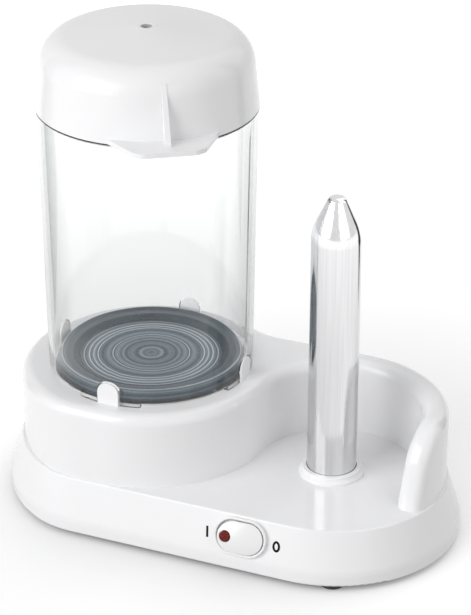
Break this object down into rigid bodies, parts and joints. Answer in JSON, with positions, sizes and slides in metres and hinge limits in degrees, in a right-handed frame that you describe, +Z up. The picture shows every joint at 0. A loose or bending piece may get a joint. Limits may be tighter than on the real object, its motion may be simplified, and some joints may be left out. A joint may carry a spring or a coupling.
{
  "type": "hot dog toaster",
  "caption": "Table-top hot dog toaster: a clear steaming jar with a domed lid on a hot plate, beside a heated spike in a curved bun bay.",
  "frame": {"origin": "centre of the overall footprint, on the table plane", "axes": "+Z up; +X along the base from the jar to the spike; -Y is the front, with the switch"},
  "size_m": [0.2384, 0.1446, 0.249],
  "materials": {
    "shell_white": "polished moulded",
    "lid_white": "polished moulded",
    "cover_white": "lightly grained",
    "foot_rubber": "matt",
    "screw_steel": "zinc plated",
    "plate_steel": "dark, spun",
    "gasket_silicone": "matt",
    "element_metal": "satin clad",
    "cutout_ceramic": "glazed",
    "bracket_steel": "plain",
    "jar_clear": "clear moulded",
    "spike_steel": "polished stainless",
    "collar_white": "polished moulded",
    "heater_sheath": "plain",
    "switch_white": "polished moulded",
    "switch_black": "fine grain",
    "lens_red": "translucent",
    "contact_brass": "plain",
    "gland_plastic": "moulded",
    "block_nylon": "moulded"
  },
  "bodies": {
    "base": {"upper_housing": "shell_white", "base_plate": "cover_white", "rubber_feet": "foot_rubber", "base_screws": "screw_steel", "heating_plate": "plate_steel", "plate_gasket": "gasket_silicone", "plate_nuts": "screw_steel", "heating_element": "element_metal", "thermal_cutout": "cutout_ceramic", "cutout_bracket": "bracket_steel", "bun_spike": "spike_steel", "spike_collar": "collar_white", "spike_nut": "screw_steel", "spike_heater": "heater_sheath", "switch_bezel": "switch_white", "switch_body": "switch_black", "rocker_pin": "screw_steel", "switch_terminals": "contact_brass", "cord_gland": "gland_plastic", "terminal_block": "block_nylon", "terminal_screws": "contact_brass", "cord_clamp": "gland_plastic", "clamp_screws": "screw_steel"},
    "jar": {"steaming_jar": "jar_clear"},
    "lid": {"lid": "lid_white"},
    "rocker": {"switch_rocker": "switch_white", "indicator_lens": "lens_red"}
  },
  "joints": [
    {"name": "jar_lift", "type": "slide", "parent": "base", "child": "jar", "axis": [0, 0, 1], "range_m": [0, 0.12]},
    {"name": "lid_lift", "type": "slide", "parent": "jar", "child": "lid", "axis": [0, 0, 1], "range_m": [0, 0.06]},
    {"name": "rocker_tilt", "type": "hinge", "parent": "base", "child": "rocker", "pos_m": [0.03055, -0.06444, 0.0194], "axis": [0, -0.3022, -0.9532], "range_deg": [0, 12]}
  ]
}
